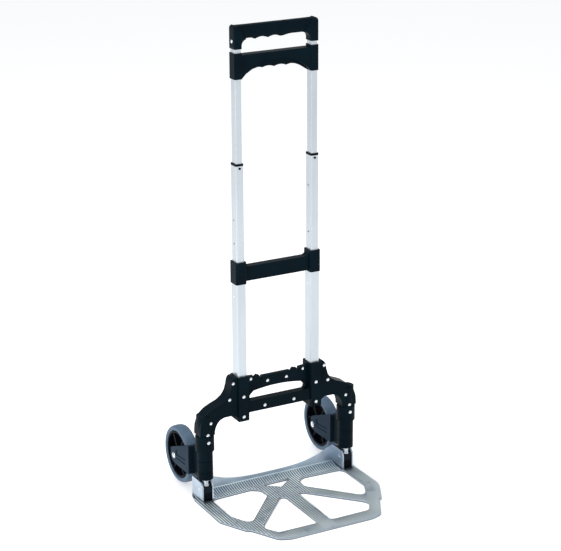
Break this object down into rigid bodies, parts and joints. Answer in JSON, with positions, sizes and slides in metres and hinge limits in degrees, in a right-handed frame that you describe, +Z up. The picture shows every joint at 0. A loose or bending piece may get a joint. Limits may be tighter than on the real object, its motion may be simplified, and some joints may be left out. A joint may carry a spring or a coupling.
{
  "type": "hand truck",
  "caption": "Flat-folding hand truck with a three-stage telescopic frame, spoked metal toe plate, moulded base casing and two swing-in wheels.",
  "frame": {"origin": "on the ground, on the centre plane, under the rear rail of the toe plate (22 mm behind the plane of the tubes)", "axes": "+Z up along the tubes, +X to the right across the truck seen from the front, -Y towards the front edge of the toe plate, +Y towards the wheels"},
  "size_m": [0.3902, 0.4115, 1.004],
  "materials": {
    "cast_alloy": "satin",
    "tube_alloy": "satin",
    "steel": "satin",
    "spring_steel": "satin",
    "rivet": "polished",
    "casing_plastic": "satin",
    "fork_plastic": "satin",
    "rim_plastic": "satin",
    "black_plastic": "satin",
    "bush_plastic": "satin",
    "tyre": "matte"
  },
  "bodies": {
    "frame": {"casing_front": "casing_plastic", "casing_rear": "casing_plastic", "casing_rivets": "rivet", "socket_rivets": "rivet", "left_leg_post": "steel", "right_leg_post": "steel", "left_knuckle": "steel", "right_knuckle": "steel", "left_foot_shoe": "black_plastic", "right_foot_shoe": "black_plastic", "left_thrust_washer": "black_plastic", "right_thrust_washer": "black_plastic", "left_outer_tube": "tube_alloy", "right_outer_tube": "tube_alloy", "mid_crossbar": "casing_plastic", "crossbar_rivets": "rivet", "guide_rivets": "rivet"},
    "toe": {"toe_plate": "cast_alloy", "left_hinge_pin": "steel", "right_hinge_pin": "steel", "left_toe_gear": "steel", "right_toe_gear": "steel"},
    "left_fork_arm": {"left_fork": "fork_plastic", "left_fork_gear": "steel", "left_axle_bolt": "steel", "left_axle_nut": "steel"},
    "left_wheel": {"left_rim": "rim_plastic", "left_tyre": "tyre", "left_hub_bushes": "bush_plastic"},
    "left_middle_stage": {"left_middle_tube": "tube_alloy", "left_glide_ring": "black_plastic", "left_middle_plug": "black_plastic"},
    "left_button_cap": {"left_button": "black_plastic"},
    "right_fork_arm": {"right_fork": "fork_plastic", "right_fork_gear": "steel", "right_axle_bolt": "steel", "right_axle_nut": "steel"},
    "right_wheel": {"right_rim": "rim_plastic", "right_tyre": "tyre", "right_hub_bushes": "bush_plastic"},
    "right_middle_stage": {"right_middle_tube": "tube_alloy", "right_glide_ring": "black_plastic", "right_middle_plug": "black_plastic"},
    "right_button_cap": {"right_button": "black_plastic"},
    "inner_stage": {"left_inner_tube": "tube_alloy", "right_inner_tube": "tube_alloy", "left_inner_plug": "black_plastic", "right_inner_plug": "black_plastic", "left_snap_spring": "spring_steel", "right_snap_spring": "spring_steel", "top_handle": "casing_plastic", "handle_screws": "rivet", "rod_guides": "black_plastic", "left_grip_spring": "spring_steel", "right_grip_spring": "spring_steel"},
    "release": {"release_grip": "casing_plastic", "release_rods": "steel", "release_pins": "steel"}
  },
  "joints": [
    {"name": "toe_fold", "type": "hinge", "parent": "frame", "child": "toe", "pos_m": [0, -0.018, 0.031], "axis": [-1, 0, 0], "range_deg": [0, 90]},
    {"name": "left_fork_fold", "type": "hinge", "parent": "frame", "child": "left_fork_arm", "pos_m": [-0.1695, -0.022, 0.0866], "axis": [0, 0, -1], "range_deg": [0, 90]},
    {"name": "right_fork_fold", "type": "hinge", "parent": "frame", "child": "right_fork_arm", "pos_m": [0.1695, -0.022, 0.0866], "axis": [0, 0, 1], "range_deg": [0, 90]},
    {"name": "left_wheel_spin", "type": "hinge", "parent": "left_fork_arm", "child": "left_wheel", "pos_m": [-0.1715, 0.084, 0.0695], "axis": [1, 0, 0], "continuous": true},
    {"name": "right_wheel_spin", "type": "hinge", "parent": "right_fork_arm", "child": "right_wheel", "pos_m": [0.1715, 0.084, 0.0695], "axis": [1, 0, 0], "continuous": true},
    {"name": "left_middle_slide", "type": "slide", "parent": "frame", "child": "left_middle_stage", "axis": [0, 0, 1], "range_m": [-0.1945, 0]},
    {"name": "right_middle_slide", "type": "slide", "parent": "frame", "child": "right_middle_stage", "axis": [0, 0, 1], "range_m": [-0.1945, 0]},
    {"name": "inner_slide", "type": "slide", "parent": "left_middle_stage", "child": "inner_stage", "axis": [0, 0, 1], "range_m": [-0.171, 0]},
    {"name": "grip_release", "type": "slide", "parent": "inner_stage", "child": "release", "axis": [0, 0, 1], "range_m": [0, 0.0065], "stiffness_N_per_m": 600, "springref_m": -0.004, "deforming": ["left_grip_spring", "right_grip_spring"]},
    {"name": "left_button_press", "type": "slide", "parent": "left_middle_stage", "child": "left_button_cap", "axis": [0, 1, 0], "range_m": [0, 0.001], "stiffness_N_per_m": 800, "springref_m": -0.001},
    {"name": "right_button_press", "type": "slide", "parent": "right_middle_stage", "child": "right_button_cap", "axis": [0, 1, 0], "range_m": [0, 0.001], "stiffness_N_per_m": 800, "springref_m": -0.001}
  ],
  "couplings": [
    {"joint": "left_fork_fold", "follows": "toe_fold", "ratio": 1},
    {"joint": "right_fork_fold", "follows": "toe_fold", "ratio": 1},
    {"joint": "right_middle_slide", "follows": "left_middle_slide", "ratio": 1}
  ]
}
